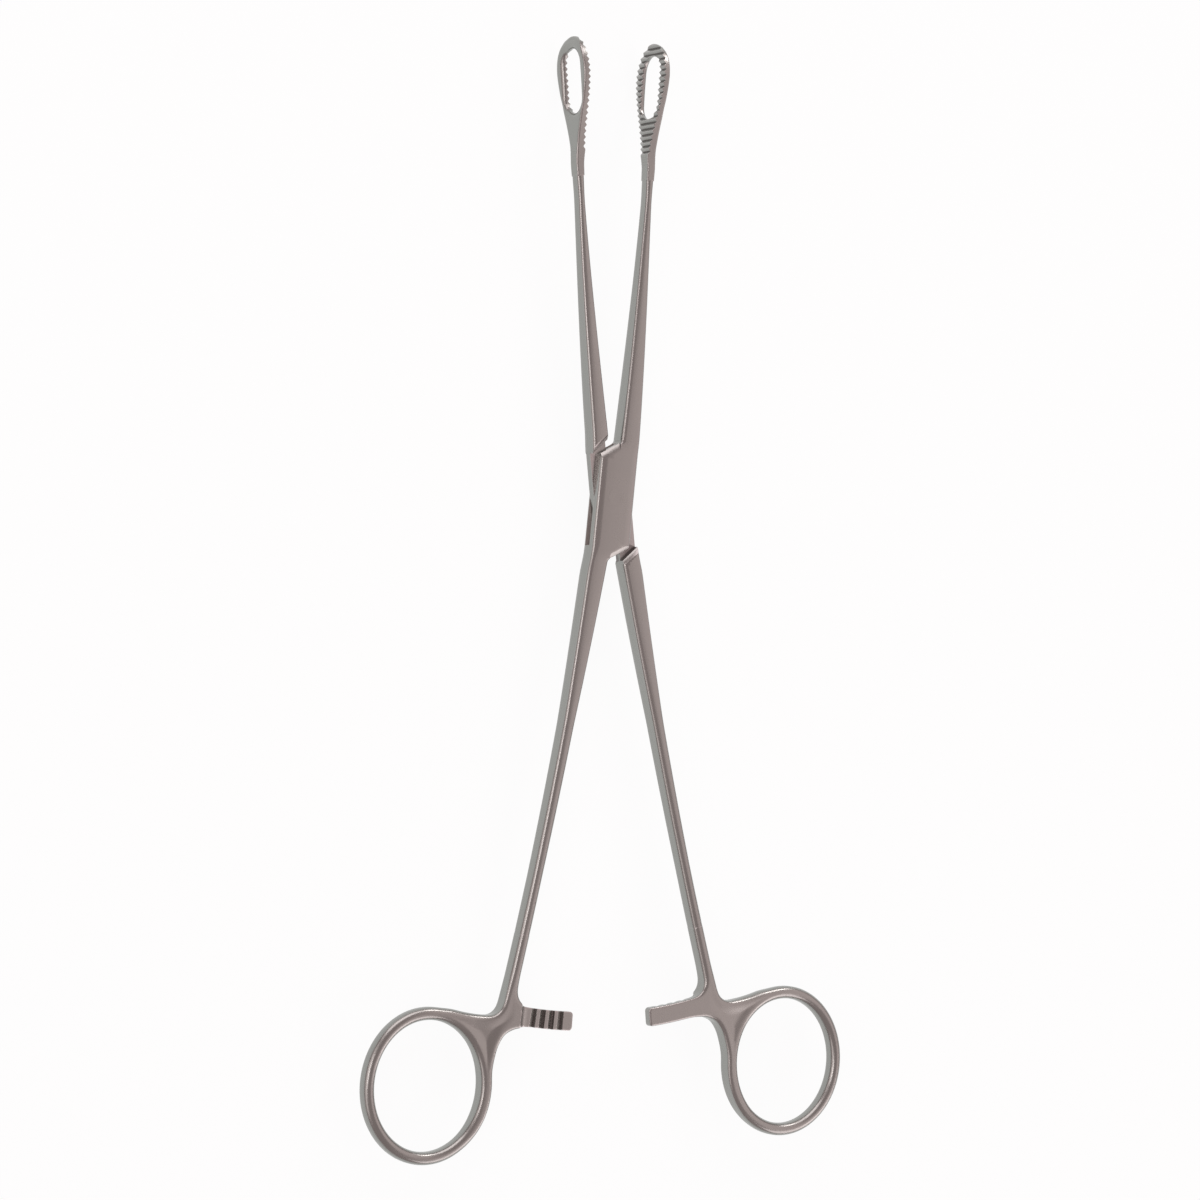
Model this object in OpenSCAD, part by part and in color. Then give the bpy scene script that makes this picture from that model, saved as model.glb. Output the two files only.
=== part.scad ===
// Sponge holding forceps: two forged halves crossed in a box lock, with ring jaws,
// finger rings and a ratchet. It lies flat, jaws towards +Y, and closes along X.
// The origin is on the pivot's axis, in the back face of the box.

/* [Joint] */
// Thickness of the box across both plates
box_t = 4; // [3.4:0.1:5]
// Width of the box plates
box_w = 9.5; // [9:0.1:11]
// From the pivot to where a plate's slanted end leaves its side, on the jaw side
plate_side_y = 9.1; // [8.8:0.1:9.8]
// From the pivot to the tip of that slanted end
plate_end_y = 12; // [11.7:0.1:12.8]
// How much further the plates reach on the handle side
plate_more = 1.65; // [1:0.05:1.8]
// Slope along the plates' slanted ends and the tongue half's shoulders
plate_bevel = 0.85; // [0.3:0.05:0.9]
// Thickness of the tongue that passes through the box
tongue_t = 1.6; // [1.1:0.05:1.8]
// How far the tongue lies behind the middle of the box
tongue_drop = 0.5; // [0:0.05:0.5]
// Clearance on each flat face of the tongue
tongue_gap = 0.05; // [0.03:0.01:0.1]
// Width of the tongue
tongue_w = 9.4; // [9:0.1:9.5]
// From the pivot to the free corner of the tongue
tongue_corner_y = 8.4; // [8:0.1:8.8]
// Clearance between the tongue's neck and the solid end of the box
neck_gap = 0.32; // [0.25:0.01:0.5]
// From the pivot to the slot's end at the side of the box
slot_side_y = 11; // [10.7:0.1:11.4]
// Gap between the plates' jaw ends and the shoulders when closed
shoulder_gap_jaw = 0.9; // [0.5:0.05:1.2]
// Gap between the plates' handle ends and the shoulders when closed
shoulder_gap_handle = 0.5; // [0.4:0.05:0.8]
// Diameter of the pivot pin
pin_d = 4; // [3:0.1:4.6]
// Radial clearance between the pin and the tongue
pin_gap = 0.04; // [0.02:0.01:0.08]
// Angle between the halves as they lie
rest_opening = 12.6; // [8:0.2:20]
// Angle between the halves at the opening stop
open_max = 28; // [26:0.5:30]

/* [Shanks] */
// Width of the box half's shanks where they leave the box
box_root_w = 4.8; // [4.4:0.1:5.2]
// Width of the tongue half's jaw shank where it leaves the box
tongue_root_w = 4.1; // [3.8:0.1:4.4]
// Width of the jaw shank at its slimmest, below the jaw
neck_w = 1.65; // [1.4:0.05:2.4]
// Width of the handle shank at its slimmest
waist_w = 2.65; // [2.2:0.05:3.4]
// Width of the handle shank at the finger ring
tail_w = 2.9; // [2.5:0.05:3.6]
// Thickness of the jaw shank at its slimmest
neck_t = 2.7; // [2.2:0.1:3.2]
// Thickness of the handle shank at the finger ring
tail_t = 3.7; // [3:0.1:4]
// Bevel along the edges at the box
bevel = 0.4; // [0.2:0.05:0.6]
// Rounding of the edges near the finger rings
tail_round = 0.9; // [0.5:0.05:1.1]

/* [Jaws] */
// From the pivot to the jaw tip
jaw_reach = 100.2; // [90:0.5:120]
// Length of the jaw from its root to its tip
jaw_len = 25.5; // [24:0.5:32]
// Width of the jaw ring
jaw_w = 11.3; // [10:0.1:14]
// Width of the opening in the jaw ring
jaw_hole_w = 6.8; // [4.5:0.1:7]
// Length of the opening in the jaw ring
jaw_hole_len = 13.9; // [10:0.1:15]
// Metal beyond the opening at the jaw tip
jaw_tip_bar = 2.7; // [2:0.1:3.6]
// Thickness of the jaw
jaw_t = 2.2; // [1.8:0.05:2.6]
// Lean of each gripping face, so that the tips meet first
jaw_toe = 1.3; // [1:0.1:1.8]
// Distance from one serration to the next
tooth_pitch = 1.27; // [1:0.01:1.6]
// Depth of the serrations
tooth_depth = 0.55; // [0.2:0.05:0.6]

/* [Finger rings] */
// From the pivot down to the ring's centre
ring_down = 129.6; // [115:0.5:150]
// From the half's axis out to the ring's centre
ring_out = 32.2; // [30:0.1:34]
// Width of the finger hole
ring_hole_w = 25.9; // [22:0.1:27]
// Height of the finger hole
ring_hole_h = 27.9; // [24:0.1:30]
// Thickness of the ring's bar in the plane of the ring
ring_bar = 2.8; // [2.5:0.1:3.6]
// Thickness of the finger ring across its plane
ring_t = 3.4; // [3:0.1:4]
// Rounding of the finger ring's bar
ring_round = 1.15; // [0.8:0.05:1.2]
// Turn of the ring's long axis
ring_turn = 5; // [0:0.5:8]
// Radius of the hollows where the ring, arm and shank meet
web_fillet = 3.2; // [2.5:0.1:4]

/* [Ratchet] */
// Mean radius of the ratchet arms about the pivot
arm_r = 114; // [100:0.5:135]
// Height of a ratchet arm
arm_h = 4.1; // [3.6:0.1:5]
// How far an arm's tip passes its half's axis
arm_tip = 3.1; // [1:0.1:4]
// Gap between the two arms as they pass
arm_gap = 0.1; // [0.06:0.02:0.2]
// Distance from one ratchet tooth to the next
ratchet_pitch = 2.3; // [1.8:0.1:2.8]
// Depth of the ratchet teeth
ratchet_depth = 0.7; // [0.4:0.05:0.9]
// Number of ratchet teeth on each arm
ratchet_teeth = 3; // [2:1:3]
// Smooth length at the arm's tip
arm_lead = 2.5; // [2:0.1:3]

/* [Hidden] */
$fn = 48;

half_open = rest_opening / 2;
half_t = box_t / 2;
slot_t = tongue_t + 2 * tongue_gap;
// The plates' ends on the handle side
low_side_y = plate_side_y + plate_more;
low_end_y = plate_end_y + plate_more;
// The web's faces lie a little inside the faces of the shank and the ring
web_inset = 0.08;
web_t = tail_t - 2 * web_inset;

// Stations along a half, measured from the pivot
jaw_root_y = jaw_reach - jaw_len;
neck_y = jaw_root_y - 9;
ring_top_y = ring_down - ring_hole_h / 2;
waist_y = 0.72 * ring_top_y;
tail_y = ring_top_y - ring_bar - 2;
// A place in between, where the handle shank is nearly slim
slim_y = 50;
slim_w = waist_w + 0.2;
// Lengths over which the box's outer side runs into the shanks
jaw_blend = plate_end_y - plate_side_y + 3;
handle_blend = jaw_blend + 1;

// Centre line of the jaw shank, on the -X side of the half's own axis
shank_offset = 2.45;
jaw_bow = 0.00036;
// Centre line of the handle shank, on the +X side, swinging out to the ring
handle_offset = 1.8;
handle_lean = 0.066;
handle_bow = 0.00042;
bow_start_y = 15;

// The gripping face at the jaw root, and the jaw's widest place
face_root_x = 0.25;
jaw_thinning = 0.2;
jaw_wide_y = jaw_reach - 8;
jaw_hole_end_y = jaw_reach - jaw_tip_bar;
// How blunt the jaw's tip is in width and in thickness, and the least share left of each
tip_power_w = 2.2;
tip_power_t = 4;
tip_least_w = 0.03;
tip_least_t = 0.3;
// Rounding of the jaw: share of its thickness and width on the outer face, edge by the teeth
root_round = 0.3;
dome_round = 0.38;
dome_w = 0.5;
face_edge = 0.1;
// The largest share of a bar's width that its edge rounding may take
edge_share = 0.42;
steps_corner = 2;

function ramp(v, a, b) = let (t = max(0, min(1, (v - a) / (b - a)))) t * t * (3 - 2 * t);
function mix(a, b, t) = a + (b - a) * t;
function turned(p, a) = [p[0] * cos(a) - p[1] * sin(a), p[0] * sin(a) + p[1] * cos(a)];

// Shank centre lines and widths at a distance from the pivot
function jaw_centre(y) = -shank_offset + jaw_bow * pow(max(0, y - bow_start_y), 2);
function handle_centre(y) = handle_offset + handle_lean * y + handle_bow * y * y;
function jaw_width(y, root_w) = lookup(y, [[plate_end_y, root_w], [neck_y, neck_w], [jaw_root_y, jaw_t]]);
function handle_width(y) = lookup(y, [[low_end_y, box_root_w], [slim_y, slim_w], [waist_y, waist_w],
    [tail_y, tail_w]]);

// The gripping face, and the jaw's thickness behind it
function face_x(y) = face_root_x + (y - jaw_root_y) * tan(jaw_toe);
function jaw_depth(y) = jaw_t * (1 - jaw_thinning * ramp(y, jaw_root_y, jaw_wide_y))
    * sqrt(max(tip_least_t, 1 - pow(max(0, (y - jaw_wide_y) / (jaw_reach - jaw_wide_y)), tip_power_t)));
function jaw_half_w(y) = y > jaw_wide_y
    ? jaw_w / 2 * sqrt(max(tip_least_w, 1 - pow((y - jaw_wide_y) / (jaw_reach - jaw_wide_y), tip_power_w)))
    : mix(neck_t / 2, jaw_w / 2, ramp(y, jaw_root_y - 1, jaw_wide_y + 1));

// Outer edge of a half at height y: -X side above the pivot, +X side below it
function outer_jaw(y, root_w) = mix(-box_w / 2, jaw_centre(y) - jaw_width(y, root_w) / 2,
    ramp(y, plate_side_y, plate_side_y + jaw_blend));
function outer_handle(y) = mix(box_w / 2, handle_centre(y) + handle_width(y) / 2,
    ramp(y, low_side_y, low_side_y + handle_blend));
function outer_x(y, root_w) = y < 0 ? outer_handle(-y)
    : y > jaw_root_y ? face_x(y) - jaw_depth(y)
    : outer_jaw(y, root_w);

// Inner edge: the side of the plate, then its slanted end, then the shank
function crotch_jaw(root_w) = jaw_centre(plate_end_y) + jaw_width(plate_end_y, root_w) / 2;
function crotch_handle() = handle_centre(low_end_y) - handle_width(low_end_y) / 2;
function inner_jaw(y, root_w) = y <= plate_side_y ? box_w / 2
    : y < plate_end_y
        ? mix(box_w / 2, crotch_jaw(root_w), (y - plate_side_y) / (plate_end_y - plate_side_y))
    : jaw_centre(y) + jaw_width(y, root_w) / 2;
function inner_handle(y) = y <= low_side_y ? -box_w / 2
    : y < low_end_y ? mix(-box_w / 2, crotch_handle(), (y - low_side_y) / (low_end_y - low_side_y))
    : handle_centre(y) - handle_width(y) / 2;
function inner_x(y, root_w) = y < 0 ? inner_handle(-y)
    : y > jaw_root_y ? face_x(y)
    : inner_jaw(y, root_w);

// Half thickness and edge rounding along a half
function thick(y) = y >= 0
    ? mix(half_t, neck_t / 2, ramp(y, plate_end_y, neck_y))
    : mix(half_t, tail_t / 2, ramp(-y, plate_end_y, waist_y));
function edge(y) = y >= 0
    ? bevel
    : mix(bevel, tail_round, ramp(-y, plate_end_y, tail_y));

// A rounded-corner section at height y, as points in the plane across the half
function corner(cx, cz, rx, rz, a0) = [for (i = [0:steps_corner])
    let (a = a0 + 90 * i / steps_corner) [cx + rx * cos(a), cz + rz * sin(a)]];
function section(x0, x1, h, r0x, r0z, r1x, r1z) = concat(
    corner(x1 - r1x, h - r1z, r1x, r1z, 0),
    corner(x0 + r0x, h - r0z, r0x, r0z, 90),
    corner(x0 + r0x, -h + r0z, r0x, r0z, 180),
    corner(x1 - r1x, -h + r1z, r1x, r1z, 270));
function at(y, pts) = [for (p = pts) [p[0], y, p[1]]];

// One station of the bar: shank and box below the jaw, then the domed jaw
function bar_section(y, root_w) = let (
    xo = outer_x(y, root_w),
    xi = inner_x(y, root_w),
    lo = min(xo, xi),
    hi = max(xo, xi),
    e = min(edge(y), (hi - lo) * edge_share))
    at(y, section(lo, hi, thick(y), e, e, e, e));
function jaw_section(y, cut) = let (
    d = jaw_depth(y),
    h = jaw_half_w(y),
    x1 = face_x(y) - cut,
    x0 = face_x(y) - d,
    dome = ramp(y, jaw_root_y, jaw_wide_y))
    at(y, section(x0, x1, h, mix(root_round, dome_round, dome) * d, mix(bevel, h * dome_w, dome),
        face_edge, face_edge));

// Serrations run from near the jaw's root to a smooth place at its tip
tip_blank = 0.33;
tooth_count = floor((jaw_len - tip_blank - 1) / tooth_pitch);
tooth_start_y = jaw_reach - tip_blank - tooth_count * tooth_pitch;

// Heights of the stations, closer together beside the box
handle_steps = 11;
jaw_steps = 9;
near_y = plate_end_y + 2;
low_near_y = low_end_y + 2;
clear_y = plate_end_y + 5;
function bar_heights() = concat(
    [for (t = [0:handle_steps]) -mix(arm_r + 1, clear_y, t / handle_steps)],
    [-low_near_y, -low_end_y, -low_side_y, plate_side_y, plate_end_y, near_y],
    [for (t = [0:jaw_steps]) mix(clear_y, jaw_root_y - 1.5, t / jaw_steps)]);
function bar_rings(root_w) = concat(
    [for (y = bar_heights()) bar_section(y, root_w)],
    [for (i = [0:tooth_count - 1]) each [
        jaw_section(tooth_start_y + i * tooth_pitch, 0),
        jaw_section(tooth_start_y + (i + 0.5) * tooth_pitch, tooth_depth)]],
    [for (u = [1, 0.6, 0.3, 0.1, 0]) jaw_section(jaw_reach - u * tip_blank, 0)]);

// A closed skin over a list of equal rings of points
module skin(rings) {
    n = len(rings[0]);
    m = len(rings);
    polyhedron(
        points = [for (r = rings) each r],
        faces = concat(
            [[for (j = [n - 1:-1:0]) j]],
            [for (i = [0:m - 2]) for (j = [0:n - 1])
                [i * n + j, i * n + (j + 1) % n, (i + 1) * n + (j + 1) % n, (i + 1) * n + j]],
            [[for (j = [0:n - 1]) (m - 1) * n + j]]),
        convexity = 8);
}

// The bar of a half, in its own axes: jaw towards +Y on the -X side, ring on the +X side
module bar(root_w) {
    difference() {
        skin(bar_rings(root_w));
        jaw_opening();
    }
}

// The long opening through the jaw ring
module jaw_opening() {
    hole_r = jaw_hole_w / 2;
    lo = jaw_hole_end_y - jaw_hole_len + hole_r;
    hi = jaw_hole_end_y - hole_r;
    for (y = [lo, hi]) {
        translate([-jaw_w, y, 0])
            rotate([0, 90, 0])
                cylinder(r = hole_r, h = 2 * jaw_w);
    }
    translate([-jaw_w, lo, -hole_r])
        cube([2 * jaw_w, hi - lo, jaw_hole_w]);
}

// The finger ring: an oval bar with rounded edges
ring_steps = 56;
function ring_point(a, r_add) = [ring_out, -ring_down]
    + turned([(ring_hole_w / 2 + r_add) * cos(a), (ring_hole_h / 2 + r_add) * sin(a)], -ring_turn);
module finger_ring() {
    e = ring_round;
    h = ring_t / 2;
    prof = section(0, ring_bar, h, e, e, e, e);
    n = len(prof);
    pts = [for (i = [0:ring_steps - 1]) let (a = 360 * i / ring_steps) for (p = prof)
        let (q = ring_point(a, p[0])) [q[0], q[1], p[1]]];
    polyhedron(
        points = pts,
        faces = [for (i = [0:ring_steps - 1]) for (j = [0:n - 1])
            let (k = (i + 1) % ring_steps) [i * n + j, i * n + (j + 1) % n, k * n + (j + 1) % n, k * n + j]],
        convexity = 6);
}

// Plan of the web that joins the shank, the ring and the ratchet arm. Its edge lies a
// little inside the edges of the shank and the ring, and reaches into the ring's bar.
strip_inset = 0.25;
ring_lap = 0.6;
shank_foot_x = handle_centre(arm_r);
relief_x = shank_foot_x - 6.2;
under_y = -arm_r - arm_h / 2 + strip_inset;
top_y = -arm_r + 0.2;
// Hollow under the foot, measured from where the arm's underside would meet the ring
foot_hollow = [[0, -8], [-0.7, -4.7], [-2.2, -1.8], [-5.5, 0]];
// Directions around the ring, from its centre, between which the web joins it
web_from = 98 + ring_turn;
web_mid = 160;
web_to = 172;
arm_tip_round = 1.2;
arm_steps = 14;
shank_steps = 6;
module oval(r_add) {
    polygon([for (i = [0:ring_steps - 1]) ring_point(360 * i / ring_steps, r_add)]);
}
function arm_point(a, r_add) = (arm_r + r_add) * [cos(a), sin(a)];
module arm_plan() {
    a0 = asin(-arm_tip / arm_r) - 90;
    a1 = asin(shank_foot_x / arm_r) - 90;
    offset(r = arm_tip_round)
        offset(delta = -arm_tip_round)
            polygon(concat(
                [for (i = [0:arm_steps]) arm_point(mix(a0, a1, i / arm_steps), arm_h / 2)],
                [for (i = [arm_steps:-1:0]) arm_point(mix(a0, a1, i / arm_steps), -arm_h / 2)]));
}
module shank_plan() {
    ys = [for (i = [0:shank_steps]) mix(tail_y - 5, arm_r, i / shank_steps)];
    polygon(concat(
        [for (y = ys) [handle_centre(y) + handle_width(y) / 2 - strip_inset, -y]],
        [for (i = [shank_steps:-1:0])
            [handle_centre(ys[i]) - handle_width(ys[i]) / 2 + strip_inset, -ys[i]]]));
}
module bridge_plan() {
    edge_r = ring_bar - strip_inset;
    foot = [ring_point(web_to, edge_r)[0], under_y];
    left_x = shank_foot_x - tail_w / 2;
    polygon(concat(
        [[left_x, under_y], [left_x, top_y], [left_x + 7, top_y]],
        [ring_point(web_from, edge_r), ring_point(web_from, ring_lap), ring_point(web_mid, ring_lap),
            ring_point(web_to, edge_r)],
        [for (p = foot_hollow) foot + p]));
}
module web_plan() {
    difference() {
        offset(r = -web_fillet)
            offset(delta = web_fillet) {
                arm_plan();
                shank_plan();
                bridge_plan();
            }
        oval(ring_lap);
    }
}

// The web and its ratchet arm: the arm keeps one half of the thickness, and its teeth
// face the other arm. side is the arm's side of the mid plane.
module web_and_arm(side) {
    difference() {
        translate([0, 0, -web_t / 2])
            linear_extrude(web_t)
                web_plan();
        translate([-2 * arm_tip, -arm_r - arm_h, side > 0 ? arm_gap / 2 - web_t : -arm_gap / 2])
            cube([relief_x + 2 * arm_tip, 2 * arm_h, web_t]);
        for (i = [0:ratchet_teeth])
            rotate([0, 0, asin((arm_lead - arm_tip + i * ratchet_pitch) / arm_r)])
                translate([0, -arm_r - arm_h, side * arm_gap / 2])
                    tooth_cut(side);
    }
}
groove_floor = 0.35;
groove_share = 0.62;
module tooth_cut(side) {
    slope_w = ratchet_pitch * groove_share;
    rotate([-90, 0, 0])
        linear_extrude(2 * arm_h)
            polygon([
                [0, side], [0, -side * ratchet_depth], [groove_floor, -side * ratchet_depth],
                [slope_w, 0], [slope_w, side]]);
}

// What both halves share, in the half's own axes
module blank(root_w, side) {
    bar(root_w);
    finger_ring();
    web_and_arm(side);
}

// The tongue's corner and the place where it stops on the slot's end
tongue_corner = [-tongue_w / 2, -tongue_corner_y];
stop_gap = 0.08;
stop_point = turned(tongue_corner, open_max) - [0, stop_gap];
slot_lip_x = 0.3;
slot_slope = (stop_point[1] + slot_side_y) / (stop_point[0] + box_w / 2);
function slot_end_y(x) = -slot_side_y + (x + box_w / 2) * slot_slope;

// The slot between the plates, seen with the box half's jaw on the +X side
module slot_plan() {
    far_x = box_w;
    far_y = low_end_y + 3;
    quarter = [
        [-far_x, slot_end_y(-far_x)], [slot_lip_x, slot_end_y(slot_lip_x)],
        [slot_lip_x, -far_y], [far_x, -far_y]];
    polygon(concat(quarter, [for (p = quarter) -p]));
}

// Points of a plan at one height, for a skin over several heights
function level(z, pts) = [for (p = pts) [p[0], p[1], z]];

// The slope along a plate's slanted end, from its corner to its crotch, on the upper face
crotch_clear = 0.05;
slope_over = 1;
slope_far_y = 4;
function slope_plan(side_y, end_y, crotch_x, more) = let (
    tilt = (end_y - side_y) / (box_w / 2 - crotch_x),
    back = more * norm([1, tilt]),
    x1 = box_w / 2 + slope_over,
    x0 = crotch_x + crotch_clear)
    [[x1, side_y - slope_over * tilt - back], [x0, side_y + (box_w / 2 - x0) * tilt - back],
        [x0, end_y + slope_far_y], [x1, end_y + slope_far_y]];
module plate_slope(side_y, end_y, crotch_x, size) {
    skin([
        level(half_t - size, slope_plan(side_y, end_y, crotch_x, 0)),
        level(half_t + slope_over, slope_plan(side_y, end_y, crotch_x, size + slope_over))]);
}
// The back plates are thin, so their slopes are small
edge_left = 0.15;
back_slope = min(plate_bevel, half_t - slot_t / 2 - tongue_drop - edge_left);
module plate_slopes() {
    for (s = [0, 1])
        mirror([0, 0, s]) {
            size = s > 0 ? back_slope : plate_bevel;
            plate_slope(plate_side_y, plate_end_y, crotch_jaw(box_root_w), size);
            rotate([0, 0, 180])
                plate_slope(low_side_y, low_end_y, -crotch_handle(), size);
        }
}

// Box half: shank, plates and slot in one forging
module box_half() {
    color([0.72, 0.7, 0.69])
        translate([0, 0, half_t])
            rotate([0, 0, -half_open])
                difference() {
                    mirror([1, 0, 0])
                        difference() {
                            blank(box_root_w, -1);
                            plate_slopes();
                        }
                    translate([0, 0, -slot_t / 2 - tongue_drop])
                        linear_extrude(slot_t)
                            slot_plan();
                    translate([0, 0, -box_t])
                        cylinder(d = pin_d, h = 2 * box_t);
                }
}

// Shoulder lines of the tongue half, beside the plates' slanted ends. They open outwards
// in a slope towards each face of the box.
shoulder_tilt = (plate_end_y - plate_side_y) / (box_w / 2 - slot_lip_x);
top_shoulder_y = plate_side_y + shoulder_gap_jaw;
low_shoulder_y = low_side_y + shoulder_gap_handle;
function shoulder_y(x, from_y) = from_y + (x + box_w / 2) * shoulder_tilt;
function recess_plan(more) = let (
    far_x = box_w,
    wider = more * norm([1, shoulder_tilt]),
    top = top_shoulder_y + wider,
    low = low_shoulder_y + wider)
    [[-far_x, shoulder_y(-far_x, top)], [slot_lip_x, shoulder_y(slot_lip_x, top)], [far_x, low_near_y],
        [far_x, -shoulder_y(-far_x, low)], [-slot_lip_x, -shoulder_y(slot_lip_x, low)],
        [-far_x, -low_near_y]];
module recess(floor_z) {
    size = min(plate_bevel, half_t - floor_z - edge_left);
    skin([
        level(floor_z, recess_plan(0)),
        level(half_t - size, recess_plan(0)),
        level(half_t + slope_over, recess_plan(size + slope_over))]);
}
// What is cut away beside the tongue's neck, through the whole thickness
corner_slope = 0.16;
neck_root = 0.3;
neck_over = 0.4;
module corner_plan(neck_x, low_y) {
    far_x = box_w;
    root_y = -tongue_corner_y - corner_slope * (neck_x - neck_root + tongue_w / 2);
    polygon([[-far_x, -tongue_corner_y + corner_slope * (far_x - tongue_w / 2)], [neck_x - neck_root, root_y],
        [neck_x, root_y - neck_root], [neck_x, -low_y - neck_over], [-far_x, -low_y - neck_over]]);
}

// Tongue half: the same forging with a thin tongue through the box
module tongue_half() {
    color([0.7, 0.69, 0.67])
        translate([0, 0, half_t])
            rotate([0, 0, half_open])
                difference() {
                    blank(tongue_root_w, 1);
                    for (s = [0, 1])
                        mirror([0, 0, s])
                            recess(tongue_t / 2 + (s > 0 ? tongue_drop : -tongue_drop));
                    for (a = [0, 180])
                        rotate([0, 0, a])
                            translate([0, 0, -box_t])
                                linear_extrude(2 * box_t)
                                    corner_plan(slot_lip_x + neck_gap, a > 0 ? near_y : low_near_y);
                    translate([0, 0, -box_t])
                        cylinder(r = pin_d / 2 + pin_gap, h = 2 * box_t);
                }
}

// Pivot pin: pressed through both plates and ground flush with them
module pivot_pin() {
    color([0.66, 0.65, 0.64])
        cylinder(d = pin_d, h = box_t);
}

box_half();
tongue_half();
pivot_pin();
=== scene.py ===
# Sponge holding forceps in satin steel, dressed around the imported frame.
# Shapes are worked out in millimetres in a half's own axes: pivot at the origin, jaw towards +Y
# on the -X side, finger ring on the +X side, the middle of the thickness at z = 0.
import math

import bmesh
import bpy
import numpy as np
from mathutils import Matrix, Vector


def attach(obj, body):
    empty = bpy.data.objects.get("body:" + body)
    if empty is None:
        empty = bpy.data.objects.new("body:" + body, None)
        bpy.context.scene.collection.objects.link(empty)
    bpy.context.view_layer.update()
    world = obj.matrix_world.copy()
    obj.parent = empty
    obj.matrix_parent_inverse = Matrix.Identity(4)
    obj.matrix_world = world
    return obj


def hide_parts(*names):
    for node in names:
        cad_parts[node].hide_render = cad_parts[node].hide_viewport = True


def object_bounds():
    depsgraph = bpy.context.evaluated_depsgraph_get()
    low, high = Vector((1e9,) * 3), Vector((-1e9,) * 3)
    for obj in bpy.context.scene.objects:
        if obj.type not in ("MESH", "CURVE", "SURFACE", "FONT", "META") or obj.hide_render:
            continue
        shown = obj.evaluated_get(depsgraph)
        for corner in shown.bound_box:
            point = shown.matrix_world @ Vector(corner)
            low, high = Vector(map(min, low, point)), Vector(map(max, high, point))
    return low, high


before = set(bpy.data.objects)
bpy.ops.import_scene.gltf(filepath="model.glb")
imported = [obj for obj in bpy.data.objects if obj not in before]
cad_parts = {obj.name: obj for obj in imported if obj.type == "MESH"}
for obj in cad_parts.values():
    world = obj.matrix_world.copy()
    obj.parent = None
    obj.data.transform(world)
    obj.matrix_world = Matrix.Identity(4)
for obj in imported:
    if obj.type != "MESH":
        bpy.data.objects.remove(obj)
cadLow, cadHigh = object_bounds()
metre = 0.001

joint = {
    "boxThickness": 4.0,
    "boxWidth": 9.5,
    "plateSide": 9.1,       # where a plate's slanted end leaves its side, on the jaw side
    "plateEnd": 12.0,       # tip of the slanted end
    "plateMore": 1.65,      # how much further the plates reach on the handle side
    "slopeDepth": 0.7,      # slope on the slanted ends and on the tongue half's shoulders
    "slopeWidth": 1.1,
    "edgeLeft": 0.15,       # the least that a slope leaves of a thin plate
    "tongueThickness": 1.6,
    "tongueMiddle": -0.5,   # the tongue lies towards the back
    "tongueGap": 0.05,
    "tongueWidth": 9.4,
    "tongueCorner": 8.4,
    "cornerSlope": 0.16,
    "neck": 0.62,           # side of the tongue's neck from the half's axis
    "neckStep": 0.3,        # small slope at the neck's root
    "neckPast": 0.8,        # how far past the plates the neck runs straight
    "neckFade": (0.9, 3.4),     # then it leaves the shank, across and along
    "slotSide": 11.0,
    "slotLip": 0.3,
    "slotPast": 3.0,        # how far the slot's cut runs past the plates
    "cutOver": 1.0,         # the slopes' cuts run this far past the faces
    "cutThrough": 3.0,      # and the holes' from the middle
    # the slot's walls carry painted shade, a dull brown, as far out as the next value
    "slotShadeTo": 11.8,     # the slot's walls are dull as far out as this
    "stopGap": 0.08,
    "shoulderGapJaw": 0.9,  # the shoulders clear the plates' ends by this much
    "shoulderGapHandle": 0.5,
    "pinRadius": 2.0,
    "pinGap": 0.04,
    "restOpening": 12.6,    # degrees between the halves in the photo's pose
    "openMax": 28.0,        # and where the slot's ends stop the tongue
    "sharpFrom": 38,        # edges that turn by more degrees than this stay sharp
}
plateEnd, plateSide = joint["plateEnd"], joint["plateSide"]
lowEnd, lowSide = plateEnd + joint["plateMore"], plateSide + joint["plateMore"]
halfBox, halfWidth = joint["boxThickness"] / 2, joint["boxWidth"] / 2
halfOpen = joint["restOpening"] / 2


def mix(a, b, t):
    return a + (b - a) * t


def ramp(value, low, high):
    t = np.clip((value - low) / (high - low), 0, 1)
    return t * t * (3 - 2 * t)


def turned(point, degrees):
    c, s = math.cos(math.radians(degrees)), math.sin(math.radians(degrees))
    return point[0] * c - point[1] * s, point[0] * s + point[1] * c


# Centre lines, widths and faces of a half at a height y

bar = {
    "jawOffset": -2.45,     # centre line of the jaw's shank at the box
    "jawBow": 0.00036,
    "jawBowFrom": 15,
    "handleOffset": 1.8,    # and of the handle's
    "handleSlant": 0.066,
    "handleBow": 0.00042,
    "boxRoot": 4.8,         # width of the box half's shanks at the box
    "tongueRoot": 4.1,
    "plateBlend": (3.0, 4.0),   # how far past the plates the outer edge meets the shank
    "neckBelowJaw": 9,
    "neckWidth": 1.65,
    "neckThickness": 2.7,
    "slimAt": 50.0,
    "slimWidth": 2.85,
    "waistAt": 83.27,
    "waistWidth": 2.65,
    "tailAt": 110.85,
    "tailWidth": 2.9,
    "tailThickness": 3.7,
    "bevel": 0.4,
    "tailRound": 1.05,
    "roundAt": 80,          # the section is at its roundest from here on
    "power": (1.25, 2.0),   # shape of its corners at the box and at its roundest
    "crownBox": 0.09,       # how much the flat faces fall away towards their edges
    "crownTail": 0.26,
    "sideCrown": (0.02, 0.06),
    "cornerMost": 0.46,     # the most of the width that one corner takes
    "cornerPoints": 5,
    "facePoints": (6, 4),   # across the flat faces and the sides
    "overlap": 1.5,         # how far the bar runs into the jaw and the finger ring
    "inset": 0.012,         # and how far inside their skin its ends lie
    "spacing": (1.0, 0.5, 0.15),    # between sections: along the shanks, near the plates, at them
}
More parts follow.
